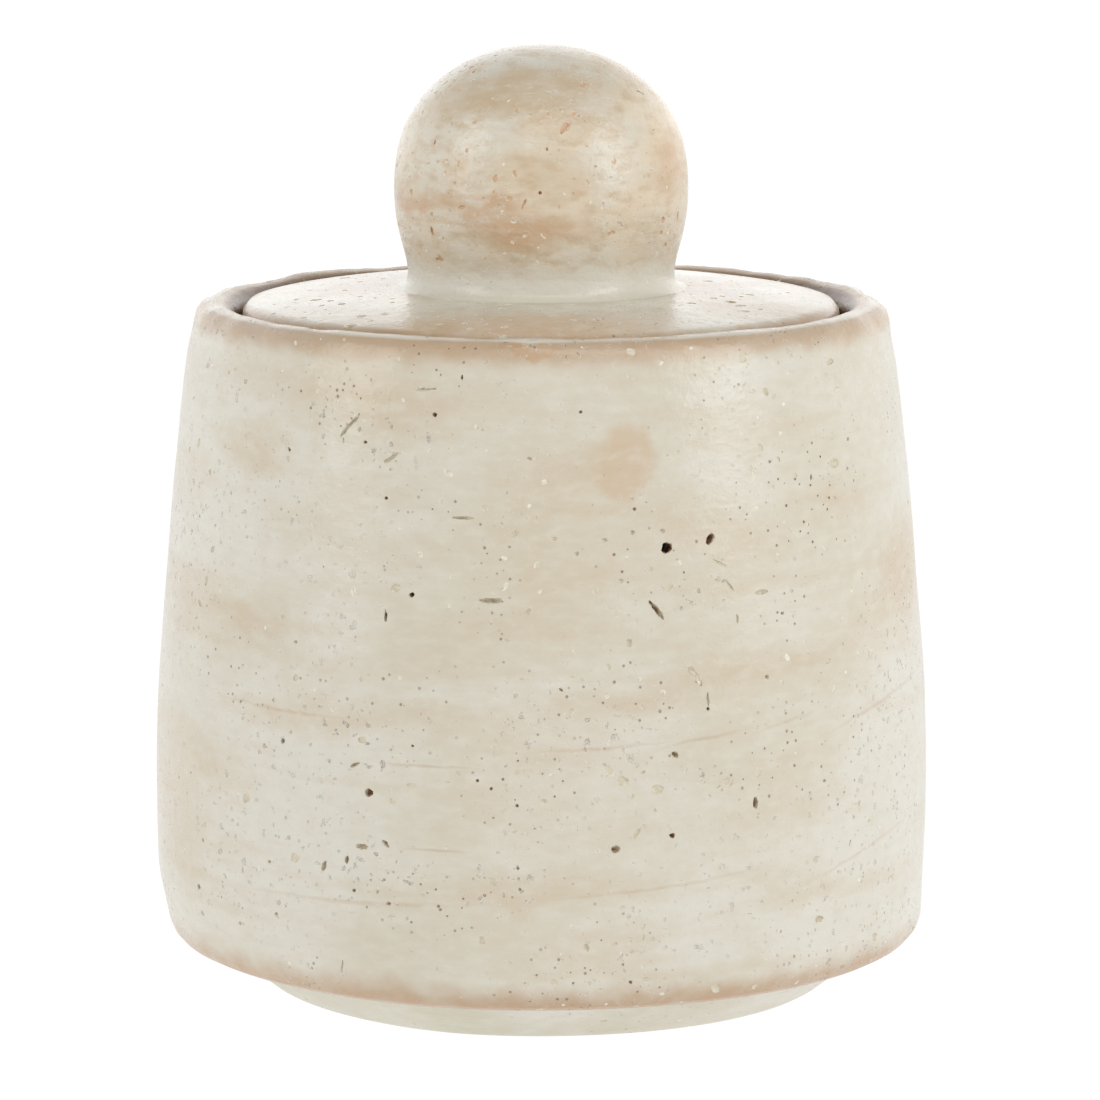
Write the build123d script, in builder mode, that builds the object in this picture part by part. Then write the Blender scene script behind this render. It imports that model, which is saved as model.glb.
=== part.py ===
"""A lidded stoneware jar with a ball knob.

The jar is a turned form: a wall that swells a little above its heel, a half-round rim,
a foot ring under the floor, and a seat ring inside the rim. The lid is a flat plate that
drops into the rim and rests on the seat ring. Its knob is a hollow ball, joined to the
plate by a coil of clay and vented through the plate.

Lengths are in millimetres. Z points up, and the origin is the middle of the foot.
"""

import os

from build123d import *

# The jar's outside
belly_radius = 80.0
rim_inset = 8.1
heel_inset = 0.7
rim_top = 141.6
rim_thickness = 8.4

# The wall, the floor and the heel between them
wall_thickness = 8.0
floor_thickness = 9.0
floor_corner_round = 12.0
heel_round = 5.4
heel_lift = 2.4

# The foot ring
foot_height = 7.8
heel_overhang = 10.3
foot_flare = 10.2
foot_width = 8.8
foot_round = 1.2

# The seat ring that carries the lid
seat_width = 9.0
seat_depth = 8.0
seat_edge_depth = 4.0
seat_round = 1.0

# The lid's plate
lid_gap = 2.0
lid_sink = 0.4
lid_thickness = 8.2
lid_top_round = 2.8
lid_under_round = 1.2
crown_rise = 2.6
vent_radius = 2.5

# The ball knob, measured from its widest level
ball_radius = 30.1
ball_rise = 28.1
ball_drop = 21.4
ball_neck_inset = 3.8
ball_wall = 6.0

# The coil of clay round the knob's neck
coil_width = 3.6
coil_height = 3.6

# Shares of the wall's height, and of its swell from the rim to the belly
wall_height_shares = (0.2, 0.4, 0.6, 0.8)
wall_swell_shares = (1.0, 0.948, 0.692, 0.4)

# Shares of the ball's radius and of its rise, above the widest level
ball_upper_radius_shares = (0.385, 0.729, 0.937)
ball_upper_rise_shares = (0.934, 0.715, 0.388)

# One more point of the ball below the widest level: how much of the narrowing, at what share of the drop
ball_lower_narrowing_share = 0.27
ball_lower_drop_share = 0.48

# How strongly the ball's outline keeps its direction at its top and at its base
end_pull_shares = (1.0, 0.5)

# Heights and radii that follow from the sizes above
rim_radius = belly_radius - rim_inset
heel_radius = belly_radius - heel_inset
foot_top_radius = heel_radius - heel_overhang
foot_radius = foot_top_radius - foot_flare
foot_inner_radius = foot_radius - foot_width
rim_round = rim_thickness / 2
rim_shoulder = rim_top - rim_round
heel_height = foot_height + heel_lift
floor_top = foot_height + floor_thickness
seat_bore_radius = rim_radius - rim_thickness
lid_radius = seat_bore_radius - lid_gap
lid_edge_top = rim_top - lid_sink
seat_top = lid_edge_top - lid_thickness
seat_bottom = seat_top - seat_depth
seat_inner_radius = seat_bore_radius - seat_width
crown_top = lid_edge_top + crown_rise
ball_middle = crown_top + ball_drop
ball_base_radius = ball_radius - ball_neck_inset
coil_radius = ball_base_radius + coil_width

DOWN = (0, -1)
UP = (0, 1)
OUTWARD = (1, 0)
INWARD = (-1, 0)


def wall_points(inset):
    """Points of the wall between heel and rim, moved in from the outside by the inset."""
    wall_height = rim_shoulder - heel_height
    swell = belly_radius - rim_radius
    return [
        (rim_radius + radius_share * swell - inset, heel_height + height_share * wall_height)
        for radius_share, height_share in zip(wall_swell_shares, wall_height_shares)
    ]


def ball_points(inset):
    """Points of the ball's outline from its top to its base, moved in from the outside by the inset."""
    radius = ball_radius - inset
    rise = ball_rise - inset
    base = ball_base_radius - inset
    upper = [
        (radius_share * radius, ball_middle + rise_share * rise)
        for radius_share, rise_share in zip(ball_upper_radius_shares, ball_upper_rise_shares)
    ]
    lower_radius = radius - ball_lower_narrowing_share * (radius - base)
    lower = (lower_radius, ball_middle - ball_lower_drop_share * ball_drop)
    return [(0, ball_middle + rise), *upper, (radius, ball_middle), lower, (base, crown_top)]


# The jar's floor, wall and rim, turned in one piece
with BuildPart() as jar_body:
    with BuildSketch(Plane.XZ):
        with BuildLine():
            heel = (heel_radius, heel_height)
            rim_outer = (rim_radius, rim_shoulder)
            rim_inner = (seat_bore_radius, rim_shoulder)
            band_end = (seat_bore_radius, seat_bottom)
            corner_radius = heel_radius - wall_thickness
            corner_start = (corner_radius, floor_top + floor_corner_round)
            corner_end = (corner_radius - floor_corner_round, floor_top)
            Polyline((0, foot_height), (foot_top_radius, foot_height), heel)
            Spline(heel, *wall_points(0), rim_outer)
            TangentArc(rim_outer, rim_inner, tangent=UP)
            Line(rim_inner, band_end)
            Spline(band_end, *reversed(wall_points(wall_thickness)), corner_start)
            TangentArc(corner_start, corner_end, tangent=DOWN)
            Polyline(corner_end, (0, floor_top), (0, foot_height))
        make_face()
    revolve(axis=Axis.Z)
    fillet(jar_body.edges().filter_by(GeomType.CIRCLE).sort_by(SortBy.RADIUS)[-1], heel_round)
jar_body.part.label = "jar_body"

# The ring that the jar stands on
with BuildPart() as foot_ring:
    with BuildSketch(Plane.XZ):
        with BuildLine():
            Polyline(
                (foot_inner_radius, 0),
                (foot_radius, 0),
                (foot_top_radius, foot_height),
                (foot_inner_radius, foot_height),
                close=True,
            )
        make_face()
    revolve(axis=Axis.Z)
    fillet(foot_ring.edges().group_by(Axis.Z)[0], foot_round)
foot_ring.part.label = "foot_ring"

# The ledge inside the rim, its underside sloped back to the wall
with BuildPart() as lid_seat:
    with BuildSketch(Plane.XZ):
        with BuildLine():
            Polyline(
                (seat_inner_radius, seat_top),
                (seat_bore_radius, seat_top),
                (seat_bore_radius, seat_bottom),
                (seat_inner_radius, seat_top - seat_edge_depth),
                close=True,
            )
        make_face()
    revolve(axis=Axis.Z)
    inner_edges = lid_seat.edges().filter_by(GeomType.CIRCLE).sort_by(SortBy.RADIUS)[:2]
    fillet(inner_edges.sort_by(Axis.Z)[-1], seat_round)
lid_seat.part.label = "lid_seat"

# The lid's plate, level under the knob and falling gently to a rounded edge
with BuildPart() as lid_plate:
    with BuildSketch(Plane.XZ):
        with BuildLine():
            under_round_start = (lid_radius - lid_under_round, seat_top)
            under_round_end = (lid_radius, seat_top + lid_under_round)
            top_round_start = (lid_radius, lid_edge_top - lid_top_round)
            top_round_end = (lid_radius - lid_top_round, lid_edge_top)
            Line((vent_radius, seat_top), under_round_start)
            TangentArc(under_round_start, under_round_end, tangent=OUTWARD)
            Line(under_round_end, top_round_start)
            TangentArc(top_round_start, top_round_end, tangent=UP)
            TangentArc((coil_radius, crown_top), top_round_end, tangent=OUTWARD)
            Polyline((coil_radius, crown_top), (vent_radius, crown_top), (vent_radius, seat_top))
        make_face()
    revolve(axis=Axis.Z)
lid_plate.part.label = "lid_plate"

# The knob, a hollow ball open at its base, where the plate closes it
with BuildPart() as knob_ball:
    with BuildSketch(Plane.XZ):
        with BuildLine():
            outside = ball_points(0)
            inside = ball_points(ball_wall)
            Spline(*outside, tangents=[OUTWARD, DOWN], tangent_scalars=end_pull_shares)
            Line(outside[-1], inside[-1])
            Spline(*inside, tangents=[OUTWARD, DOWN], tangent_scalars=end_pull_shares)
            Line(inside[0], outside[0])
        make_face()
    revolve(axis=Axis.Z)
knob_ball.part.label = "knob_ball"

# The coil pressed into the corner between ball and plate, dished where a finger smoothed it
with BuildPart() as knob_coil:
    with BuildSketch(Plane.XZ):
        with BuildLine():
            coil_inner_radius = ball_base_radius - ball_wall / 2
            coil_foot = (coil_radius, crown_top)
            coil_rim = (ball_base_radius, crown_top + coil_height)
            TangentArc(coil_foot, coil_rim, tangent=INWARD)
            Polyline(coil_rim, (coil_inner_radius, coil_rim[1]), (coil_inner_radius, crown_top), coil_foot)
        make_face()
    revolve(axis=Axis.Z)
    add(knob_ball.part, mode=Mode.SUBTRACT)
knob_coil.part.label = "knob_coil"

os.makedirs("parts", exist_ok=True)
for piece in (jar_body, foot_ring, lid_seat, lid_plate, knob_ball, knob_coil):
    export_step(piece.part, f"parts/{piece.part.label}.step")
    print(piece.part.label, round(piece.part.volume), piece.part.bounding_box().size)
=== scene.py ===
# %% [markdown]
# # A lidded stoneware jar
# This lesson dresses the finished CAD model of a thrown jar. It holds every size, so nothing here
# is moved or resized. What is added is what clay and glaze do by themselves: a little wobble from
# the wheel, pits from the kiln, and a cream glaze that breaks to tan on the edges.

# %% Load the frame
import math
import bmesh
import bpy
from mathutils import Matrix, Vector
from mathutils.bvhtree import BVHTree


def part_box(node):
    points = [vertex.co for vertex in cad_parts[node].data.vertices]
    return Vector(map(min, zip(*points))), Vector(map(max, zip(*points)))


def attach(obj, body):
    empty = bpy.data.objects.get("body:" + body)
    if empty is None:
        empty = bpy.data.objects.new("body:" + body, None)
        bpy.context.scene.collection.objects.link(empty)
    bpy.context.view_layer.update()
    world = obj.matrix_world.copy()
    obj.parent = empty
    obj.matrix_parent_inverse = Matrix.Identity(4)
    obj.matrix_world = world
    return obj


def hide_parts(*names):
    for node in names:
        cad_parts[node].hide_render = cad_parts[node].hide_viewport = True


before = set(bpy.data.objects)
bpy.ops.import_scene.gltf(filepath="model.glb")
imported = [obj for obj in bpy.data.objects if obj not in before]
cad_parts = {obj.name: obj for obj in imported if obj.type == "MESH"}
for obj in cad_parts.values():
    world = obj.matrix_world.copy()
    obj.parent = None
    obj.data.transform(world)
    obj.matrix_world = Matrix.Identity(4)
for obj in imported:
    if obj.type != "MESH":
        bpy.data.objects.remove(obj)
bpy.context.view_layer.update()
mm = 0.001
print("nodes", sorted(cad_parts))

# %% [markdown]
# ## The camera
# The photograph was taken with a long lens, from about 1.25 m away and a little above the lid, so
# the wall looks almost straight and the lid is a thin ellipse. The values were fitted to the jar's
# outline, with Blender's usual sensor width of 36 mm.

# %% Camera
camera_distance = 1245.6 * mm
camera_height = 288.9 * mm
camera_side = 1.8 * mm
camera_pitch = math.radians(9.12)
lens_length = 199.8
sensor_width = 36.0
photo_width = 1100

camera_data = bpy.data.cameras.new("camera")
camera_data.lens = lens_length
camera_data.sensor_width = sensor_width
camera = bpy.data.objects.new("camera", camera_data)
camera.location = (camera_side, -camera_distance, camera_height)
camera.rotation_euler = (math.pi / 2 - camera_pitch, 0, 0)
bpy.context.scene.collection.objects.link(camera)
bpy.context.scene.camera = camera
print("camera", tuple(round(value, 3) for value in camera.location))

# %% [markdown]
# ## Colours
# A colour picked from a screen is stored in sRGB, but light adds up in linear values. One
# function turns the hex code of a colour into the linear value that a shader socket takes.

# %% Colours
def to_linear(code):
    """The linear colour of a hex code such as 'dbd6c7', with an alpha of 1."""
    shares = [int(code[place:place + 2], 16) / 255 for place in (0, 2, 4)]
    linear = [
        share / 12.92 if share <= 0.04045 else ((share + 0.055) / 1.055) ** 2.4
        for share in shares
    ]
    return (*linear, 1.0)


glaze_cream = to_linear("d1cbba")
glaze_pale = to_linear("d7d3c6")
glaze_white = to_linear("dfdcd0")
# Painted highlight: the pale lips of pits and chips, where they would catch the light
lip_highlight = to_linear("e6e1d3")
glaze_tan = to_linear("c5ae8d")
glaze_brown = to_linear("b28d66")
knob_tan = to_linear("ddccb1")
lid_tan = to_linear("ad9577")
foot_green = to_linear("cac5b0")
pit_cream = to_linear("d3cab4")
pit_tan = to_linear("d0b08d")
# Brown clay, for pinholes and pits; inside a pit it is partly painted shade as the pit deepens
pit_brown = to_linear("8a6242")
# Painted shadow: near black at the bottom of deep pits
pit_painted_shadow = to_linear("241b13")
# Painted shade for the inside face of the rim, in the gap above the lid
rim_inner_shade = to_linear("785d45")
blush = to_linear("c8a47e")
paper_white = to_linear("ffffff")
floor_grey = to_linear("505050")
print("cream in linear light", tuple(round(value, 3) for value in glaze_cream))

# %% [markdown]
# ## Helpers for nodes
# Shader trees and geometry trees are made of nodes with settings and inputs. The first helper
# adds one node and fills each input with a value, a socket, or the first output of another node.
# Where inputs go by number, a Map Range reads from 1 to 2 and gives from 3 to 4, which are 0 and 1
# unless set, and a Mix blends from 6 to 7 by its input 0. Noise that is cut down to a share makes
# the patches in glaze and clay alike.

# %% Node helpers
def add(tree, kind, inputs=None, **settings):
    """Adds a node to the tree. Inputs are given by name or number, as values, sockets or nodes."""
    made = tree.nodes.new(kind)
    for name, value in settings.items():
        setattr(made, name, value)
    for key, value in (inputs or {}).items():
        if isinstance(value, bpy.types.Node):
            value = next(socket for socket in value.outputs if socket.enabled)
        if isinstance(value, bpy.types.NodeSocket):
            tree.links.new(value, made.inputs[key])
        else:
            made.inputs[key].default_value = value
    return made


def noise_share(tree, place, width, detail, start, full, most=1.0):
    """A noise of some width, and a share made from it: none at its start value, most at its full one."""
    noise = add(tree, "ShaderNodeTexNoise", {"Vector": place, "Scale": 1 / width, "Detail": detail})
    return noise, add(tree, "ShaderNodeMapRange", {0: noise, 1: start, 2: full, 4: most})


def new_material(name):
    """A new material, its tree and its shader."""
    material = bpy.data.materials.new(name)
    material.use_nodes = True
    return material, material.node_tree, material.node_tree.nodes["Principled BSDF"]


print("helpers", add.__name__, noise_share.__name__, new_material.__name__)

# %% [markdown]
# ## The light
# The photograph is a cut-out on white, but the glaze shows what stood round the jar: two tall
# softboxes, left and right of the camera, and a white backdrop that the lid mirrors. The world is
# that backdrop, because it lights from all sides and needs no mesh. It is dimmer on the camera's
# side and overhead, so that the wall keeps its shape.

# %% World
front_strength = 0.5
back_strength = 1.4
far_back_strength = 0.25
overhead_share = 0.35

world = bpy.data.worlds.new("white_studio")
world.use_nodes = True
sky = world.node_tree
direction = add(sky, "ShaderNodeTexCoord").outputs["Generated"]
parts = add(sky, "ShaderNodeSeparateXYZ", {0: direction}).outputs
inputs = {0: parts["Y"], 1: -0.3, 2: 0.8, 3: front_strength, 4: back_strength}
around = add(sky, "ShaderNodeMapRange", inputs)
inputs = {0: parts["Y"], 1: 0.8, 2: 0.99, 4: far_back_strength}
behind = add(sky, "ShaderNodeMapRange", inputs, interpolation_type="SMOOTHSTEP")
low = add(sky, "ShaderNodeMapRange", {0: parts["Z"], 1: 0.3, 2: 0.75, 3: 1.0, 4: overhead_share})
both = add(sky, "ShaderNodeMath", {0: around, 1: behind}, operation="ADD")
backdrop = add(sky, "ShaderNodeMath", {0: both, 1: low}, operation="MULTIPLY")
sky.links.new(backdrop.outputs[0], sky.nodes["Background"].inputs["Strength"])
sky.nodes["Background"].inputs["Color"].default_value = paper_white
bpy.context.scene.world = world
bpy.context.scene.view_settings.view_transform = "Standard"
print("world", world.name, len(sky.nodes), "nodes")

# %% Lamps
jar_middle = Vector((0, 0, 0.09))

# Name, turn in degrees from the camera, then height, distance, width and tallness in metres, and watts
softboxes = (
    ("left_box", -62, 0.7, 1.3, 0.45, 1.1, 5.0),
    ("right_box", 60, 0.7, 1.3, 0.5, 1.1, 6.5),
    ("top_box", 12, 1.35, 1.0, 1.2, 0.8, 6.0),
)
for name, turn, height, distance, width, tallness, power in softboxes:
    data = bpy.data.lights.new(name, "AREA")
    data.shape = "RECTANGLE"
    data.size = width
    data.size_y = tallness
    data.energy = power
    lamp = bpy.data.objects.new(name, data)
    bearing = math.radians(turn)
    lamp.location = (distance * math.sin(bearing), -distance * math.cos(bearing), height)
    lamp.rotation_euler = (jar_middle - lamp.location).to_track_quat("-Z", "Y").to_euler()
    bpy.context.scene.collection.objects.link(lamp)
print("lamps", [lamp.name for lamp in bpy.data.lights])

# %% [markdown]
# ## The floor
# The photograph has no floor and no shadow. White acrylic lit from below comes close to that, so
# one large glowing square stands for it, as stage and not as a part of the jar.

# %% Floor
half_floor = 6.0
floor_glow = 0.98
floor_corners = [(x * half_floor, y * half_floor, 0) for x, y in ((-1, -1), (1, -1), (1, 1), (-1, 1))]
floor_mesh = bpy.data.meshes.new("floor")
floor_mesh.from_pydata(floor_corners, [], [(0, 1, 2, 3)])
floor = bpy.data.objects.new("floor", floor_mesh)
bpy.context.scene.collection.objects.link(floor)

# Matt acrylic: an even white with no highlight and no reflection of the jar
floor_paint, _, floor_shader = new_material("lit_white_acrylic")
floor_finish = {
    "Base Color": floor_grey, "Roughness": 1.0, "Specular IOR Level": 0.0,
    "Emission Color": paper_white, "Emission Strength": floor_glow,
}
for socket, value in floor_finish.items():
    floor_shader.inputs[socket].default_value = value
floor_mesh.materials.append(floor_paint)
print("floor", 2 * half_floor, "m wide")

# %% [markdown]
# ## Where a mark sits
# The marks that give this jar its look are set out from the photograph, each by the pixel
# that it is seen at. A ray from the camera through that pixel finds its place on the CAD surface.

# %% From a pixel to the clay
skins = {}
for node in ("jar_body", "lid_plate", "knob_ball", "foot_ring"):
    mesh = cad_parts[node].data
    faces = [face.vertices for face in mesh.polygons]
    skins[node] = BVHTree.FromPolygons([vert.co for vert in mesh.vertices], faces)


def surface_under(node, x, y):
    """The point of a CAD node that the camera sees at a pixel of the photograph."""
    to_side = (x / photo_width - 0.5) * sensor_width
    to_top = (0.5 - y / photo_width) * sensor_width
    ray = camera.rotation_euler.to_matrix() @ Vector((to_side, to_top, -lens_length))
    return skins[node].ray_cast(camera.location, ray)[0]


print("the wall at the photograph's middle", tuple(surface_under("jar_body", 550, 550)))

# %% [markdown]
# ## The glaze
# The jar wears a satin cream glaze, brushed thin over pitted stoneware, with wide, soft highlights.
# It is cream where it pools and tan where it thins over an edge, and pinholes show the clay. A
# picture could be painted and wrapped round the jar, but patterns made from a point's place have
# no seam and go round the back. Each layer is a share and a colour, laid over the last.

# %% Marks
thickness_of_marks = 0.1


def mark_share(tree, place, node, mark):
    """How strongly a mark shows: pixel x, y, half width, half height, core, strength, any lean."""
    x, y, half_width, half_height, core, strength, *lean = mark
    half_size = (half_width * mm, thickness_of_marks, half_height * mm)
    if node == "lid_plate":
        half_size = (half_width * mm, half_height * mm, thickness_of_marks)
    inputs = {
        "Vector": place, "Location": surface_under(node, x, y), "Scale": half_size,
        "Rotation": (0, -math.radians(sum(lean)), 0),
    }
    local = add(tree, "ShaderNodeMapping", inputs, vector_type="TEXTURE")
    far = add(tree, "ShaderNodeVectorMath", {0: local}, operation="LENGTH")
    return add(tree, "ShaderNodeMapRange", {0: far, 1: 1.0, 2: core, 4: strength})


print(mark_share.__name__)

# %% Clouds, bands and finger lines
cloud_width = 40 * mm
finger_gap = 5 * mm
finger_share = 0.22
band_squash = (0.5, 0.5, 1.8)
finger_squash = (0.06, 0.06, 1.0)
finger_tilt = (0, 0.03, 0)


def soft_layers(tree, place, tan_share, band_width):
    """Pale clouds, tan bands that follow the wheel, and sweeping lines left by the potter's fingers."""
    clouds, pale = noise_share(tree, place, cloud_width, 3.0, 0.38, 0.62)
    flat = add(tree, "ShaderNodeMapping", {"Vector": place, "Scale": band_squash})
    _, tan = noise_share(tree, flat, band_width, 5.0, 0.46, 0.74, tan_share)
    inputs = {"Vector": place, "Scale": finger_squash, "Rotation": finger_tilt}
    sweep = add(tree, "ShaderNodeMapping", inputs)
    lines, line = noise_share(tree, sweep, finger_gap, 4.0, 0.54, 0.72, finger_share)
    return clouds, lines, [(pale, glaze_pale), (tan, glaze_tan), (line, glaze_tan)]


print("clouds", cloud_width / mm, "mm wide, finger lines", finger_gap / mm, "mm apart")

# %% Ragged borders
border_grain = 7 * mm
stain_reach = 9 * mm
line_reach = 1.4 * mm
edge_raggedness = 0.8


def shaken_places(tree, place):
    """A noise, and the place pushed about by it: widely for a stain, and a little for a thin line."""
    ragged = add(tree, "ShaderNodeTexNoise", {"Vector": place, "Scale": 1 / border_grain, "Detail": 5.0})
    inputs = {0: ragged.outputs["Color"], 1: (0.5, 0.5, 0.5)}
    push = add(tree, "ShaderNodeVectorMath", inputs, operation="SUBTRACT")
    shaken = []
    for reach in (stain_reach, line_reach):
        offset = add(tree, "ShaderNodeVectorMath", {0: push, "Scale": reach}, operation="SCALE")
        shaken.append(add(tree, "ShaderNodeVectorMath", {0: offset, 1: place}, operation="ADD"))
    return ragged, *shaken


def edge_layers(tree, place, ragged, edges):
    """Edges, where the glaze runs thin and where highlight and shade are painted: from none to all by
    height and by radius, ragged in height.
    """
    height = add(tree, "ShaderNodeSeparateXYZ", {0: place}).outputs["Z"]
    level = add(tree, "ShaderNodeVectorMath", {0: place, 1: (1.0, 1.0, 0.0)}, operation="MULTIPLY")
    radius = add(tree, "ShaderNodeVectorMath", {0: level}, operation="LENGTH")
    layers = []
    for low, high, outer, inner, strength, colour in edges:
        shift = edge_raggedness * abs(high - low)
        inputs = {0: ragged, 1: shift, 2: height}
        shaken_height = add(tree, "ShaderNodeMath", inputs, operation="MULTIPLY_ADD")
        inputs = {0: shaken_height, 1: low + shift / 2, 2: high + shift / 2, 4: strength}
        by_height = add(tree, "ShaderNodeMapRange", inputs, interpolation_type="SMOOTHSTEP")
        by_radius = add(tree, "ShaderNodeMapRange", {0: radius, 1: outer, 2: inner})
        share = add(tree, "ShaderNodeMath", {0: by_height, 1: by_radius}, operation="MULTIPLY")
        layers.append((share, colour))
    return layers


print("borders pushed about by up to", stain_reach / 2 / mm, "mm")

# %% Chips and pinholes
chip_width = 1.5 * mm
# How strong the painted highlight on a chip's lip is
lip_highlight_strength = 0.6
pinhole_gap = 1.8 * mm
crowd_width = 22 * mm


def strongest(tree, share, others):
    """The greatest of a share and some others."""
    for other in others:
        share = add(tree, "ShaderNodeMath", {0: share, 1: other}, operation="MAXIMUM")
    return share


def chip_shares(tree, place, patch):
    """Chips of 1 to 2 mm where the glaze flaked, and a painted highlight on the lip of each."""
    flakes, chip = noise_share(tree, place, chip_width, 3.0, 0.63, 0.78, patch)
    lip = add(tree, "ShaderNodeMapRange", {0: flakes, 1: 0.59, 2: 0.64, 4: patch})
    past_lip = add(tree, "ShaderNodeMapRange", {0: flakes, 1: 0.69, 2: 0.65, 4: lip_highlight_strength})
    return chip, add(tree, "ShaderNodeMath", {0: lip, 1: past_lip}, operation="MULTIPLY")


def pinhole_share(tree, place, pinholed, crowds):
    """Pinholes of 0.2 to 0.6 mm, about 2 mm apart where they crowd."""
    holes = add(tree, "ShaderNodeTexVoronoi", {"Vector": place, "Scale": 1 / pinhole_gap})
    size = add(tree, "ShaderNodeSeparateXYZ", {0: holes.outputs["Color"]}).outputs["X"]
    reach = add(tree, "ShaderNodeMapRange", {0: size, 3: 0.06, 4: 0.16})
    inside = add(tree, "ShaderNodeMath", {0: holes, 1: reach}, operation="SUBTRACT")
    hole = add(tree, "ShaderNodeMapRange", {0: inside, 1: 0.03, 2: -0.03})
    _, crowd = noise_share(tree, place, crowd_width, 2.0, 0.5, 0.6, pinholed)
    return add(tree, "ShaderNodeMath", {0: hole, 1: strongest(tree, crowd, crowds)}, operation="MULTIPLY")


print("chips", chip_width / mm, "mm wide, pinholes", pinhole_gap / mm, "mm apart")

# %% The whole glaze
mottle_width = 3 * mm
mottle_squash = (0.7, 0.7, 1.4)
grain_width = 1.3 * mm
glaze_ior = 1.55


def glaze_material(name, node, base, look, edges, stains_and_painted_light, crowds, rough_patches):
    """A glaze from its base colour, its look, its edges and its listed marks, among them painted
    highlights, a reflection and shade.
    """
    tan_share, band_width, roughness, chipped, mottled, pinholed, relief_height = look
    material, tree, shader = new_material(name)
    place = add(tree, "ShaderNodeTexCoord").outputs["Object"]
    clouds, lines, layers = soft_layers(tree, place, tan_share, band_width * mm)
    ragged, shaken, shaken_little = shaken_places(tree, place)
    for *mark, colour in stains_and_painted_light:
        thin = mark[3] < 1
        layers.append((mark_share(tree, shaken_little if thin else shaken, node, mark), colour))

    # Mottling, where the brush left more and less glaze
    brushed = add(tree, "ShaderNodeMapping", {"Vector": place, "Scale": mottle_squash})
    mottles, more = noise_share(tree, brushed, mottle_width, 5.0, 0.5, 0.8, 0.35)
    less = add(tree, "ShaderNodeMapRange", {0: mottles, 1: 0.5, 2: 0.2, 4: mottled})
    layers += [(more, glaze_white), (less, glaze_tan), *edge_layers(tree, place, ragged, edges)]

    # Chips and pinholes come in patches, some by chance and some listed one by one
    patch = add(tree, "ShaderNodeMapRange", {0: clouds, 1: 0.4, 2: 0.65, 4: 0.6})
    rough = [mark_share(tree, shaken, node, mark) for mark in rough_patches]
    chip, lip = chip_shares(tree, place, strongest(tree, patch, rough))
    crowded = [mark_share(tree, shaken, node, mark) for mark in crowds]
    pinhole = pinhole_share(tree, place, pinholed, crowded)
    # The painted highlights on chip lips go on near the end, before the brown pinholes
    for share, colour in (*layers, (lip, lip_highlight), (pinhole, pit_brown)):
        base = add(tree, "ShaderNodeMix", {0: share, 6: base, 7: colour}, data_type="RGBA")
    tree.links.new(base.outputs[2], shader.inputs["Base Color"])

    # Relief: a fine grain, the finger lines, mottling, pinholes, and chips with a steep border
    grain = add(tree, "ShaderNodeTexNoise", {"Vector": place, "Scale": 1 / grain_width, "Detail": 4.0})
    relief = grain
    for feature, weight in ((lines, 1.0), (chip, -chipped), (mottles, 1.5), (pinhole, -3.0)):
        relief = add(tree, "ShaderNodeMath", {0: feature, 1: weight, 2: relief}, operation="MULTIPLY_ADD")
    bump = add(tree, "ShaderNodeBump", {"Height": relief, "Distance": relief_height * mm})
    tree.links.new(bump.outputs[0], shader.inputs["Normal"])
    shader.inputs["Roughness"].default_value = roughness
    shader.inputs["IOR"].default_value = glaze_ior
    return material


print(glaze_material.__name__)

# %% [markdown]
# ## Inside the pits
# A pit is bare stoneware. Its lip gets a painted highlight, pale where it would catch the light,
# and its hole gets painted shade, brown and then near black as it deepens. The mesh brings two
# measures for this, made further on: how deep each point lies, and how dark each pit is.

# %% Pits
pit_roughness = 0.35
# Depths of the painted highlight on a pit's lip, and of the painted shade that goes brown, then near
# black
highlight_lip_depths = (0.03 * mm, 0.11 * mm)
brown_depths = (0.8 * mm, 2.2 * mm)
shadow_depths = (2.0 * mm, 4.5 * mm)


def pit_material(name, colour):
    """Bare clay in a pit, painted shade by depth, painted highlight on the lip. A darker stored pit
    counts up to four times as deep.
    """
    material, tree, shader = new_material(name)
    shade = add(tree, "ShaderNodeAttribute", attribute_name="pit_shade").outputs["Fac"]
    depth = add(tree, "ShaderNodeAttribute", attribute_name="pit_depth").outputs["Fac"]
    extra = add(tree, "ShaderNodeMath", {0: shade, 1: 3.0, 2: 1.0}, operation="MULTIPLY_ADD")
    look = add(tree, "ShaderNodeMath", {0: depth, 1: extra}, operation="MULTIPLY")
    # Painted shade: deeper points turn brown, part clay and part shade, and then near black
    for (shallow, deep), below in ((brown_depths, pit_brown), (shadow_depths, pit_painted_shadow)):
        share = add(tree, "ShaderNodeMapRange", {0: look, 1: shallow, 2: deep})
        colour = add(tree, "ShaderNodeMix", {0: share, 6: colour, 7: below}, data_type="RGBA")
    # Painted highlight: the shallowest band of the pit, its lip, turns pale
    past_lip = add(tree, "ShaderNodeMapRange", {0: depth, 1: highlight_lip_depths[0], 2: highlight_lip_depths[1]})
    colour = add(tree, "ShaderNodeMix", {0: past_lip, 6: lip_highlight, 7: colour}, data_type="RGBA")
    tree.links.new(colour.outputs[2], shader.inputs["Base Color"])
    shader.inputs["Roughness"].default_value = pit_roughness
    return material


pit_clay = pit_material("pitted_clay", pit_cream)
knob_pit_clay = pit_material("pitted_tan_clay", pit_tan)
print("pit clays", pit_clay.name, knob_pit_clay.name)
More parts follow.
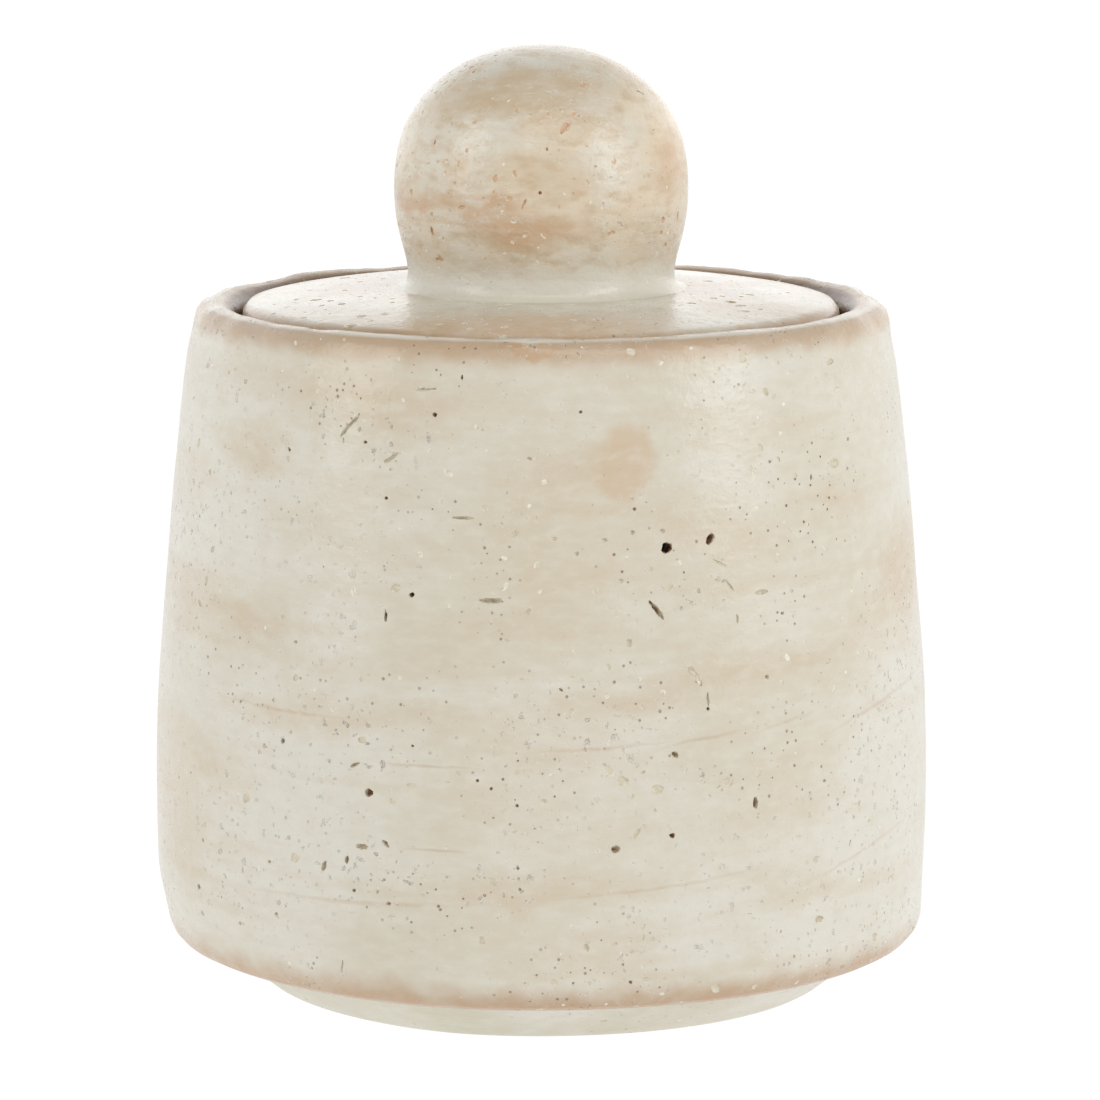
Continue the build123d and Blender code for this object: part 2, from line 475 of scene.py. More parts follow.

# %% [markdown]
# ## Marks set out one by one
# Chance gives the right kind of glaze, but a jar is known by its own stains. Each mark has the
# pixel at its middle, its half width and half height in millimetres, the share of it that is full
# core, its strength and, where it leans, its lean in degrees. Stains, finger lines, and the painted
# highlights and reflections on knob and lid end with a colour. Pinholes gather in the crowds, and
# the glaze flaked in the rough patches.

# %% Marks on the wall
wall_marks = (
    (626, 462, 7.5, 8.5, 0.65, 0.42, blush), (257, 452, 9, 7, 0.3, 0.4, glaze_tan),
    (905, 560, 10, 13, 0.3, 0.6, glaze_tan), (255, 622, 24, 3.5, 0.3, 0.35, -2, glaze_tan),
    (430, 722, 42, 4.5, 0.3, 0.3, glaze_tan), (541, 892, 40, 5, 0.3, 0.35, 2, glaze_tan),
    (600, 749, 14, 0.5, 0.2, 0.3, 3, glaze_brown), (705, 739, 10, 0.5, 0.2, 0.3, 8, glaze_brown),
    (785, 723, 8, 0.5, 0.2, 0.22, 12, glaze_brown), (880, 702, 14, 0.6, 0.2, 0.25, 18, glaze_brown),
    (660, 888, 25, 0.5, 0.2, 0.25, 5, glaze_brown), (860, 853, 16, 0.5, 0.2, 0.2, 19, glaze_brown),
    (422, 766, 12, 0.4, 0.2, 0.35, glaze_brown), (437, 851, 8, 0.4, 0.2, 0.35, glaze_brown),
    (282, 710, 15, 0.5, 0.2, 0.35, -1, glaze_brown), (370, 903, 30, 0.6, 0.2, 0.25, 2, glaze_brown),
    (527, 352, 8, 1.6, 0.6, 0.5, blush), (300, 720, 20, 4, 0.3, 0.3, glaze_tan),
    (560, 470, 20, 9, 0.2, 0.3, glaze_tan), (620, 700, 26, 4, 0.3, 0.25, 4, glaze_tan),
    (541, 560, 22, 30, 0.1, 0.25, glaze_tan), (541, 800, 26, 20, 0.1, 0.2, glaze_tan),
)

wall_crowds = (
    (805, 500, 14, 16, 0.6, 0.9), (650, 560, 16, 9, 0.4, 0.8), (520, 790, 16, 12, 0.4, 0.8),
    (430, 900, 20, 9, 0.4, 0.8), (330, 400, 14, 9, 0.4, 0.7), (770, 760, 14, 14, 0.4, 0.7),
)

wall_rough = (
    (350, 750, 15, 12, 0.4, 1.0), (352, 425, 10, 8, 0.4, 1.0), (390, 458, 8, 6, 0.4, 0.9),
    (500, 885, 12, 9, 0.4, 0.9), (645, 505, 7, 5, 0.3, 0.8), (700, 590, 8, 7, 0.3, 0.8),
    (520, 520, 9, 6, 0.2, 0.7), (700, 780, 10, 5, 0.3, 0.8), (840, 480, 6, 6, 0.3, 0.9),
    (375, 880, 16, 10, 0.4, 0.9), (560, 350, 26, 4, 0.3, 0.8), (240, 380, 10, 8, 0.2, 0.6),
    (385, 560, 10, 6, 0.4, 0.8), (430, 430, 9, 6, 0.4, 0.8), (505, 620, 7, 5, 0.4, 0.7),
)
print("marks on the wall", len(wall_marks), "crowds", len(wall_crowds), "rough patches", len(wall_rough))

# %% Marks on the knob and the lid
knob_marks = (
    (530, 232, 16, 5, 0.3, 0.8, blush), (475, 205, 16, 3, 0.3, 0.75, blush),
    (470, 196, 15, 0.8, 0.3, 0.5, 2, blush), (500, 226, 22, 0.7, 0.3, 0.5, blush),
    (480, 105, 12, 4, 0.3, 0.6, 5, glaze_tan), (560, 118, 14, 5, 0.3, 0.7, -5, glaze_tan),
    (541, 88, 24, 5, 0.3, 0.7, glaze_tan), (560, 170, 14, 9, 0.2, 0.4, glaze_tan),
    (672, 165, 6, 7, 0.3, 0.6, blush), (415, 200, 9, 2.5, 0.3, 0.7, blush),
    # The two pale marks at 610, 170 and 430, 150 are painted highlights of the right and left softboxes
    (565, 127, 1.9, 0.9, 0.3, 0.9, 52, glaze_brown), (610, 170, 8, 9, 0.2, 0.6, glaze_pale),
    (430, 150, 6, 12, 0.2, 0.5, glaze_pale),
)
# Painted reflection: the knob mirrored in the lid's front, tan from the ball and pale from its foot
# nearer to it
lid_painted_reflection = ((541, 326, 34, 14, 0.3, 0.6, blush), (541, 297, 30, 9, 0.3, 0.6, glaze_pale))
knob_rough = (
    (470, 225, 16, 14, 0.3, 0.7), (640, 225, 12, 9, 0.3, 0.8), (560, 90, 22, 12, 0.3, 0.6),
)
print("marks on the knob", len(knob_marks), "and on the lid", len(lid_painted_reflection))

# %% [markdown]
# ## A finish for each piece
# One pot of glaze lies thick on the wall, thin and tan on the lid, mottled on the ball and hardly
# at all on the foot. One recipe with a few numbers for each keeps them alike. An edge, of thin glaze,
# of painted highlight or of painted shade, comes in between two heights and between two radii, and
# has a strength and a colour.

# %% Thin edges, painted highlights and painted shade
heel_bottom, rim_top = (corner.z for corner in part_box("jar_body"))
plate_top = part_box("lid_plate")[1].z
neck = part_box("knob_ball")[0].z
any_radius = (-1 * mm, 0.0)
wall_edges_and_painted_light = (
    (rim_top - 6.5 * mm, rim_top - 2.5 * mm, *any_radius, 0.6, glaze_brown),
    # Painted highlight: a pale line along the rim's rounded top, where it catches the light
    (rim_top - 1.0 * mm, rim_top - 0.5 * mm, 66.6 * mm, 67.4 * mm, 0.7, glaze_white),
    # Painted shade: the inside face of the rim, dark above the lid
    (rim_top - 14 * mm, rim_top - 10 * mm, 65.6 * mm, 64.4 * mm, 0.95, rim_inner_shade),
    (heel_bottom + 9 * mm, heel_bottom + 1 * mm, *any_radius, 0.95, glaze_brown),
)
lid_edges = ((plate_top - 2.6 * mm, plate_top - 4 * mm, *any_radius, 0.8, glaze_brown),)
# Painted light: white low on the ball stands for light bounced up from the lid, and cream on the coil is
# painted shade that dims its upward face
knob_painted_light_and_shade = (
    (neck + 8.5 * mm, neck + 3 * mm, *any_radius, 0.85, glaze_white),
    (neck + 3.5 * mm, neck + 0.5 * mm, *any_radius, 0.7, glaze_cream),
)
print("rim at", rim_top, "heel at", heel_bottom, "plate's top at", plate_top, "neck at", neck)

# %% Finishes
# Tan share, band width in mm, roughness, chips, mottling, pinholes, relief in mm
wall_look = (0.45, 25, 0.27, 6.0, 0.2, 0.6, 0.12)
lid_look = (0.5, 25, 0.22, 2.0, 0.6, 0.6, 0.11)
knob_look = (0.6, 14, 0.26, 2.5, 1.0, 0.2, 0.15)
foot_look = (0.15, 25, 0.45, 3.0, 0.2, 0.3, 0.11)

# Satin cream on the wall: soft upright highlights that its pits and chips break up
wall_glaze = glaze_material(
    "cream_glaze_wall", "jar_body", glaze_cream, wall_look, wall_edges_and_painted_light,
    wall_marks, wall_crowds, wall_rough,
)
# The same glaze, thin and tan and smoother on the lid, so it mirrors the backdrop at a low angle; a
# painted reflection of the knob lies on its front
lid_glaze = glaze_material(
    "cream_glaze_lid", "lid_plate", lid_tan, lid_look, lid_edges, lid_painted_reflection, (), (),
)
# The same glaze, brushed unevenly on the ball, so it looks mottled and warm, with painted light and shade
# low down
knob_glaze = glaze_material(
    "cream_glaze_knob", "knob_ball", knob_tan, knob_look, knob_painted_light_and_shade, knob_marks, (), knob_rough,
)
# A wiped, thin glaze on the foot: nearly matt, and a little greener
foot_glaze = glaze_material("thin_glaze_foot", "foot_ring", foot_green, foot_look, (), (), (), ())
print("glazes", wall_glaze.name, lid_glaze.name, knob_glaze.name, foot_glaze.name)

# %% [markdown]
# ## Reading a turned outline
# The clay pieces are turned forms: one outline carried round an axis. The CAD model holds each
# outline, so it isn't drawn again. The node's mesh is cut with a half plane through the axis, and
# new points go along the cut at even steps, fine where the eye sees them. Corners are kept.

# %% Outline of a node
outline_turn = math.radians(217)
corner_turn = math.radians(20)
same_point = 0.05 * mm


def half_section(node):
    """The corner points of a CAD node's half section, in order, as vectors (radius, height)."""
    across = (-math.sin(outline_turn), math.cos(outline_turn), 0)
    along = (math.cos(outline_turn), math.sin(outline_turn), 0)
    cut = bmesh.new()
    cut.from_mesh(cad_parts[node].data)
    bmesh.ops.remove_doubles(cut, verts=cut.verts, dist=0.001 * mm)
    for normal, both in ((across, True), (along, False)):
        everything = [*cut.verts, *cut.edges, *cut.faces]
        bmesh.ops.bisect_plane(
            cut, geom=everything, plane_co=(0, 0, 0), plane_no=normal,
            clear_inner=True, clear_outer=both,
        )
    bmesh.ops.remove_doubles(cut, verts=cut.verts, dist=same_point)
    ends = [vert for vert in cut.verts if len(vert.link_edges) == 1]
    here = min(ends or cut.verts, key=lambda vert: vert.co.z)
    walk = [here]
    while True:
        others = [edge.other_vert(here) for edge in here.link_edges]
        onward = [other for other in others if other not in walk]
        if not onward:
            break
        here = onward[0]
        walk.append(here)
    points = [Vector((math.hypot(vert.co.x, vert.co.y), vert.co.z)) for vert in walk]
    cut.free()
    if ends:
        points[0].x = points[-1].x = 0
    else:
        points.append(points[0].copy())
    area = sum(one.x * two.y - two.x * one.y for one, two in zip(points, [*points[1:], points[0]]))
    return points if area > 0 else points[::-1]


def outline(node, spacing):
    """Points of a node's half section at even steps. spacing gives the step at the middle of a run."""
    raw = half_section(node)
    turns = [
        (point - before).angle(after - point, 0)
        for before, point, after in zip(raw, raw[1:], raw[2:])
    ]
    bends = [number for number, turn in enumerate(turns, 1) if turn > corner_turn]
    corners = [0, *bends, len(raw) - 1]
    rows = [raw[0]]
    for start, end in zip(corners, corners[1:]):
        run = raw[start:end + 1]
        gone = [0.0]
        for one, two in zip(run, run[1:]):
            gone.append(gone[-1] + (two - one).length)
        steps = max(1, round(gone[-1] / spacing(run[len(run) // 2])))
        for step in range(1, steps + 1):
            target = gone[-1] * step / steps
            after = next((place for place in range(1, len(run)) if gone[place] >= target), len(run) - 1)
            share = (target - gone[after - 1]) / (gone[after] - gone[after - 1])
            rows.append(run[after - 1].lerp(run[after], share))
    return rows


print("corner points of the ball's half section", len(half_section("knob_ball")))

# %% [markdown]
# ## Thrown clay as a geometry tree
# A potter's wheel is a rule, and so is the way that a kiln pits clay, so one Geometry Nodes tree
# makes every turned piece. A Screw modifier could carry the outline round the axis, but in the
# tree the next steps can follow. Each column of a grid takes the outline, a step further round.

# %% Turn the outline
weld = 0.001 * mm


def turned_surface(tree, given):
    """The outline's points, one column of them for each step round the axis, welded into a shell."""
    profile = given["Geometry"]
    size = add(tree, "GeometryNodeAttributeDomainSize", {"Geometry": profile}, component="MESH")
    rows = size.outputs["Point Count"]
    columns = add(tree, "ShaderNodeMath", {0: given["Segments"], 1: 1.0}, operation="ADD")
    grid = add(tree, "GeometryNodeMeshGrid", {"Vertices X": columns, "Vertices Y": rows})
    index = add(tree, "GeometryNodeInputIndex")
    row = add(tree, "ShaderNodeMath", {0: index, 1: rows}, operation="MODULO")
    count = add(tree, "ShaderNodeMath", {0: index, 1: rows}, operation="DIVIDE")
    column = add(tree, "ShaderNodeMath", {0: count}, operation="FLOOR")
    turn = add(tree, "ShaderNodeMath", {0: column, 1: given["Segments"]}, operation="DIVIDE")
    angle = add(tree, "ShaderNodeMath", {0: turn, 1: math.tau}, operation="MULTIPLY")
    inputs = {"Geometry": profile, "Value": add(tree, "GeometryNodeInputPosition"), "Index": row}
    point = add(tree, "GeometryNodeSampleIndex", inputs, data_type="FLOAT_VECTOR", domain="POINT")
    inputs = {"Vector": point, "Angle": angle}
    turned = add(tree, "ShaderNodeVectorRotate", inputs, rotation_type="Z_AXIS")
    shell = add(tree, "GeometryNodeSetPosition", {"Geometry": grid, "Position": turned})
    return add(tree, "GeometryNodeMergeByDistance", {"Geometry": shell, "Distance": weld})


print(turned_surface.__name__)

# %% [markdown]
# ## Shape it by hand
# No thrown wall is a perfect circle. Slow noise pulls the clay in by under a millimetre, and only
# inwards, so a piece stays inside its CAD size. Heel and foot are worn on one side, and the rim
# keeps small lumps from the sponge.

# %% Swells, wear and lumps
swell_width = 60 * mm
wear_start = 26 * mm
wear_full = 11 * mm
rim_start = 128 * mm
rim_full = 138 * mm
rim_lump_width = 13 * mm


def hand_shaped(tree, shell, given):
    """The shell pulled in by wide swells, by wear low on one side, and by small lumps on the rim."""
    place = add(tree, "GeometryNodeInputPosition")
    _, wobble = noise_share(tree, place, swell_width, 3.0, 0.25, 0.75, given["Wobble"])
    flat = add(tree, "ShaderNodeVectorMath", {0: place, 1: (1.0, 1.0, 0.0)}, operation="MULTIPLY")
    outward = add(tree, "ShaderNodeVectorMath", {0: flat}, operation="NORMALIZE")
    side = add(tree, "ShaderNodeVectorMath", {0: outward, 1: given["Wear Side"]}, operation="DOT_PRODUCT")
    inputs = {0: side, 1: 0.2, 2: 0.9}
    worn_side = add(tree, "ShaderNodeMapRange", inputs, interpolation_type="SMOOTHSTEP")
    height = add(tree, "ShaderNodeSeparateXYZ", {0: place}).outputs["Z"]
    inputs = {0: height, 1: wear_start, 2: wear_full}
    low = add(tree, "ShaderNodeMapRange", inputs, interpolation_type="SMOOTHSTEP")
    worn = add(tree, "ShaderNodeMath", {0: worn_side, 1: low}, operation="MULTIPLY")
    reach = add(tree, "ShaderNodeMath", {0: worn, 1: given["Wear"], 2: wobble}, operation="MULTIPLY_ADD")
    inward = add(tree, "ShaderNodeMath", {0: reach, 1: -1.0}, operation="MULTIPLY")
    offset = add(tree, "ShaderNodeVectorMath", {0: outward, "Scale": inward}, operation="SCALE")
    high = add(tree, "ShaderNodeMapRange", {0: height, 1: rim_start, 2: rim_full, 4: given["Rim Lumps"]})
    _, dip = noise_share(tree, place, rim_lump_width, 2.0, 0.3, 0.7, high)
    below = add(tree, "ShaderNodeVectorMath", {0: (0.0, 0.0, -1.0), 1: outward}, operation="SUBTRACT")
    dent = add(tree, "ShaderNodeVectorMath", {0: below, "Scale": dip}, operation="SCALE")
    total = add(tree, "ShaderNodeVectorMath", {0: offset, 1: dent}, operation="ADD")
    return add(tree, "GeometryNodeSetPosition", {"Geometry": shell, "Offset": total})


print(hand_shaped.__name__)

# %% [markdown]
# ## Rough lumps to cut with
# A pit isn't a dot of paint: it has a lip, a floor and a shadow. So each is cut with a small
# ball, stretched to its size and roughened by noise. The noise stays gentle, because a lump that
# folds over itself tears the clay.

# %% Lumps
lump_grain = 0.7 * mm


def rough_lumps(tree, points, facing, turn, facets):
    """Rough lumps at the points: balls stretched to their half size, turned, their skin pushed about."""
    ball = add(tree, "GeometryNodeMeshIcoSphere", {"Radius": 1.0, "Subdivisions": facets})
    size = add(tree, "GeometryNodeInputNamedAttribute", {"Name": "half_size"}, data_type="FLOAT_VECTOR")
    inputs = {"Rotation": facing, "Rotate By": turn}
    rotation = add(tree, "FunctionNodeRotateRotation", inputs, rotation_space="LOCAL")
    inputs = {"Points": points, "Instance": ball, "Rotation": rotation, "Scale": size}
    placed = add(tree, "GeometryNodeInstanceOnPoints", inputs)
    real = add(tree, "GeometryNodeRealizeInstances", {"Geometry": placed})
    total = add(tree, "ShaderNodeVectorMath", {0: size, 1: (1.0, 1.0, 1.0)}, operation="DOT_PRODUCT")
    mean = add(tree, "ShaderNodeMath", {0: total, 1: 3.0}, operation="DIVIDE")
    place = add(tree, "GeometryNodeInputPosition")
    noise = add(tree, "ShaderNodeTexNoise", {"Vector": place, "Scale": 1 / lump_grain, "Detail": 3.0})
    inputs = {0: noise.outputs["Color"], 1: (0.5, 0.5, 0.5)}
    push = add(tree, "ShaderNodeVectorMath", inputs, operation="SUBTRACT")
    offset = add(tree, "ShaderNodeVectorMath", {0: push, "Scale": mean}, operation="SCALE")
    return add(tree, "GeometryNodeSetPosition", {"Geometry": real, "Offset": offset})


print(rough_lumps.__name__)

# %% [markdown]
# ## Pits scattered by the kiln
# Pits come in patches, where the clay held more air and grit. Points are scattered over the side
# that shows and kept clear of the gouges, because lumps that overlap tear the clay. A chance
# raised to its fifth power makes a large pit rare. Fixed seeds give the same jar each time.

# %% Scattered pits
patch_width = 25 * mm
clear_of_gouges = 3 * mm
most_per_square_metre = 1e6
rarity = 5.0
thinnest_pit = (0.3, 0.3, 0.06)
fullest_pit = (0.85, 0.6, 0.28)


def pit_points(tree, shell, given):
    """Points scattered in patches where the shell faces away from its middle, and their rotation."""
    place = add(tree, "GeometryNodeInputPosition")
    away = add(tree, "ShaderNodeVectorMath", {0: place, 1: given["Middle"]}, operation="SUBTRACT")
    inputs = {0: away, 1: add(tree, "GeometryNodeInputNormal")}
    facing = add(tree, "ShaderNodeVectorMath", inputs, operation="DOT_PRODUCT")
    shows = add(tree, "FunctionNodeCompare", {0: facing, 1: 0.0}, operation="GREATER_THAN")
    _, patch = noise_share(tree, place, patch_width, 2.0, 0.42, 0.62)
    inputs = {
        "Mesh": shell, "Selection": shows, "Distance Min": given["Pit Spacing"],
        "Density Max": most_per_square_metre, "Density Factor": patch, "Seed": given["Seed"],
    }
    scatter = add(tree, "GeometryNodeDistributePointsOnFaces", inputs, distribute_method="POISSON")
    gouges = add(tree, "GeometryNodeObjectInfo", {"Object": given["Gouges"]}).outputs["Geometry"]
    nearest = add(tree, "GeometryNodeProximity", {"Geometry": gouges}, target_element="POINTS").outputs
    inputs = {0: nearest["Distance"], 1: clear_of_gouges}
    close = add(tree, "FunctionNodeCompare", inputs, operation="LESS_THAN")
    taken = add(tree, "FunctionNodeBooleanMath", {0: close, 1: nearest["Is Valid"]}, operation="AND")
    inputs = {"Geometry": scatter.outputs["Points"], "Selection": taken}
    return add(tree, "GeometryNodeDeleteGeometry", inputs, domain="POINT"), scatter.outputs["Rotation"]


def scattered_pits(tree, shell, given):
    """Lumps at the scattered points, each with its own size, shade and spin."""
    points, facing = pit_points(tree, shell, given)
    chance = add(tree, "FunctionNodeRandomValue", {2: 0.0, 3: 1.0, 8: given["Seed"]})
    rare = add(tree, "ShaderNodeMath", {0: chance, 1: rarity}, operation="POWER")
    size = add(tree, "ShaderNodeMapRange", {0: rare, 3: given["Smallest Pit"], 4: given["Largest Pit"]})
    inputs = {0: thinnest_pit, 1: fullest_pit, 8: 7}
    shape = add(tree, "FunctionNodeRandomValue", inputs, data_type="FLOAT_VECTOR")
    half_size = add(tree, "ShaderNodeVectorMath", {0: shape, "Scale": size}, operation="SCALE")
    shade = add(tree, "FunctionNodeRandomValue", {2: given["Palest"], 3: given["Darkest"], 8: 5})
    for name, value, kind in (("half_size", half_size, "FLOAT_VECTOR"), ("pit_shade", shade, "FLOAT")):
        inputs = {"Geometry": points, "Name": name, "Value": value}
        points = add(tree, "GeometryNodeStoreNamedAttribute", inputs, data_type=kind)
    inputs = {0: (0.0, 0.0, 0.0), 1: (0.0, 0.0, math.tau), 8: 11}
    spin = add(tree, "FunctionNodeRandomValue", inputs, data_type="FLOAT_VECTOR")
    return rough_lumps(tree, points, facing, spin, 2)


print(scattered_pits.__name__)

# %% [markdown]
# ## Gouges placed one by one
# The largest gouges show in the photograph, so they aren't left to chance. Their points come as
# an object that isn't shown. Each lump is laid on the clay, turned to face out of it, and leant.

# %% Placed gouges
def placed_gouges(tree, shell, given):
    """Lumps at the listed gouges, each turned to face out of the shell and then leant."""
    points = add(tree, "GeometryNodeObjectInfo", {"Object": given["Gouges"]}).outputs["Geometry"]
    nearest = add(tree, "GeometryNodeProximity", {"Geometry": shell})
    laid = add(tree, "GeometryNodeSetPosition", {"Geometry": points, "Position": nearest})
    inputs = {"Mesh": shell, "Value": add(tree, "GeometryNodeInputNormal")}
    normal = add(tree, "GeometryNodeSampleNearestSurface", inputs, data_type="FLOAT_VECTOR")
    inputs = {0: (0.0, 0.0, 1.0), 1: normal}
    sideways = add(tree, "ShaderNodeVectorMath", inputs, operation="CROSS_PRODUCT")
    facing = add(tree, "FunctionNodeAlignRotationToVector", {"Vector": normal}, axis="Z")
    inputs = {"Rotation": facing, "Vector": sideways}
    level = add(tree, "FunctionNodeAlignRotationToVector", inputs, axis="X", pivot_axis="Z")
    lean = add(tree, "GeometryNodeInputNamedAttribute", {"Name": "lean"}, data_type="FLOAT_VECTOR")
    return rough_lumps(tree, add(tree, "GeometryNodeMeshToPoints", {"Mesh": laid}), level, lean, 3)


print(placed_gouges.__name__)

# %% [markdown]
# ## The whole tree
# The Boolean takes the lumps away, and their own faces stay behind as the walls of the pits. The
# Manifold solver does this in a moment. Each face of a pit keeps its shade, each point its depth
# under the skin, and edges stay sharp at the lips.

# %% Turn, shape, cut, paint
tree_inputs = {
    "Geometry": ("Geometry",), "Int": ("Segments", "Seed"), "Vector": ("Middle", "Wear Side"),
    "Float": (
        "Wobble", "Wear", "Rim Lumps", "Pit Spacing", "Smallest Pit", "Largest Pit", "Palest", "Darkest",
    ),
    "Object": ("Gouges",), "Material": ("Glaze", "Pit Clay"),
}
sharp_turn = math.radians(35)


def thrown_clay_tree():
    """The whole tree: turn, shape, pit, paint."""
    tree = bpy.data.node_groups.new("thrown_clay", "GeometryNodeTree")
    for kind, names in tree_inputs.items():
        for name in names:
            tree.interface.new_socket(name, in_out="INPUT", socket_type="NodeSocket" + kind)
    tree.interface.new_socket("Geometry", in_out="OUTPUT", socket_type="NodeSocketGeometry")
    given = add(tree, "NodeGroupInput").outputs
    shell = hand_shaped(tree, turned_surface(tree, given), given)
    lumps = add(tree, "GeometryNodeJoinGeometry")
    for part in (scattered_pits(tree, shell, given), placed_gouges(tree, shell, given)):
        tree.links.new(part.outputs[0], lumps.inputs[0])
    shade = add(tree, "GeometryNodeInputNamedAttribute", {"Name": "pit_shade"})
    inputs = {"Geometry": lumps, "Name": "pit_shade", "Value": shade}
    marked = add(tree, "GeometryNodeStoreNamedAttribute", inputs, domain="FACE")
    inputs = {"Mesh 1": shell, "Mesh 2": marked}
    pitted = add(tree, "GeometryNodeMeshBoolean", inputs, operation="DIFFERENCE", solver="MANIFOLD")
    skin = add(tree, "GeometryNodeProximity", {"Geometry": shell})
    inputs = {"Geometry": pitted, "Name": "pit_depth", "Value": skin.outputs["Distance"]}
    measured = add(tree, "GeometryNodeStoreNamedAttribute", inputs)
    smooth = add(tree, "GeometryNodeSetShadeSmooth", {"Geometry": measured}, domain="FACE")
    inputs = {0: add(tree, "GeometryNodeInputMeshEdgeAngle"), 1: sharp_turn}
    sharp = add(tree, "FunctionNodeCompare", inputs, operation="GREATER_THAN")
    inputs = {"Geometry": smooth, "Selection": sharp, "Shade Smooth": False}
    edged = add(tree, "GeometryNodeSetShadeSmooth", inputs, domain="EDGE")
    real = add(tree, "GeometryNodeRealizeInstances", {"Geometry": edged})
    glazed = add(tree, "GeometryNodeSetMaterial", {"Geometry": real, "Material": given["Glaze"]})
    pit = add(tree, "FunctionNodeCompare", {0: shade, 1: 0.0}, operation="GREATER_THAN")
    inputs = {"Geometry": glazed, "Selection": pit, "Material": given["Pit Clay"]}
    add(tree, "NodeGroupOutput", {0: add(tree, "GeometryNodeSetMaterial", inputs)})
    return tree


thrown_clay = thrown_clay_tree()
print("thrown clay tree", len(thrown_clay.nodes), "nodes")

# %% [markdown]
# ## From the tree to a piece
# The tree runs once for each piece, with that piece's own sizes. Its result is made a plain mesh
# and the modifier goes, because the piece has to ride on its body and be exported. A gouge that
# is deep for its width gets little light, so it is darker.

# %% Points for gouges
palest_gouge = 0.02
shade_for_depth = 1.2
shade_taken_off = 0.2


def gouge_points(name, node, gouges):
    """An object that isn't shown, with a point for each gouge that holds its size, lean and shade."""
    mesh = bpy.data.meshes.new(name)
    mesh.from_pydata([surface_under(node, x, y) for x, y, *_ in gouges], [], [])
    kinds = {"half_size": "FLOAT_VECTOR", "lean": "FLOAT_VECTOR", "pit_shade": "FLOAT"}
    for attribute, kind in kinds.items():
        mesh.attributes.new(attribute, kind, "POINT")
    for number, (_, _, width, tall, deep, *lean) in enumerate(gouges):
        half_size = (width / 2 * mm, tall / 2 * mm, deep * mm)
        mesh.attributes["half_size"].data[number].vector = half_size
        mesh.attributes["lean"].data[number].vector = (0, 0, math.radians(sum(lean)))
        shade = shade_for_depth * deep / max(width, tall) - shade_taken_off
        mesh.attributes["pit_shade"].data[number].value = max(palest_gouge, shade)
    return bpy.data.objects.new(name, mesh)


print(gouge_points.__name__)

# %% One clay piece
no_gouges = gouge_points("no_gouges", "jar_body", ())
usual = {
    "Segments": 220, "Wobble": 0.0, "Wear": 0.0, "Wear Side": (-1, 0, 0), "Pit Spacing": 5 * mm,
    "Smallest Pit": 0.7 * mm, "Palest": 0.02, "Darkest": 0.4, "Gouges": no_gouges, "Pit Clay": pit_clay,
}


def thrown_piece(name, node, body, rows, settings, slot="glazed_stoneware"):
    """A clay piece: its outline turned and pitted, as a plain mesh that stands for a CAD node."""
    profile = bpy.data.meshes.new(name)
    profile.from_pydata([(row.x, 0, row.y) for row in rows], [], [])
    piece = bpy.data.objects.new(name, profile)
    bpy.context.scene.collection.objects.link(piece)
    maker = piece.modifiers.new("thrown_clay", "NODES")
    maker.node_group = thrown_clay
    items = thrown_clay.interface.items_tree
    sockets = {item.name: item.identifier for item in items if item.in_out == "INPUT"}
    for setting, value in {**usual, **settings}.items():
        maker[sockets[setting]] = value
    bpy.context.view_layer.update()
    view = bpy.context.evaluated_depsgraph_get()
    finished = piece.evaluated_get(view)
    made = bpy.data.meshes.new_from_object(finished, preserve_all_data_layers=True, depsgraph=view)
    piece.modifiers.clear()
    piece.data = made
    while None in made.materials[:]:
        made.materials.pop(index=made.materials[:].index(None))
    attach(piece, body)
    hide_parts(node)
    triangles = sum(len(face.vertices) - 2 for face in made.polygons)
    pit_faces = sum(face.material_index for face in made.polygons)
    print(name, len(rows), "rows", triangles, "triangles", pit_faces, "pit faces")


print(thrown_piece.__name__)

# %% [markdown]
# ## Gouges on the wall
# Each gouge can be seen in the photograph. It has the pixel at its middle, its width, height and
# depth in millimetres and, where it leans, how far, anticlockwise in degrees. The shallow ones
# are dishes where a flake of clay came away.

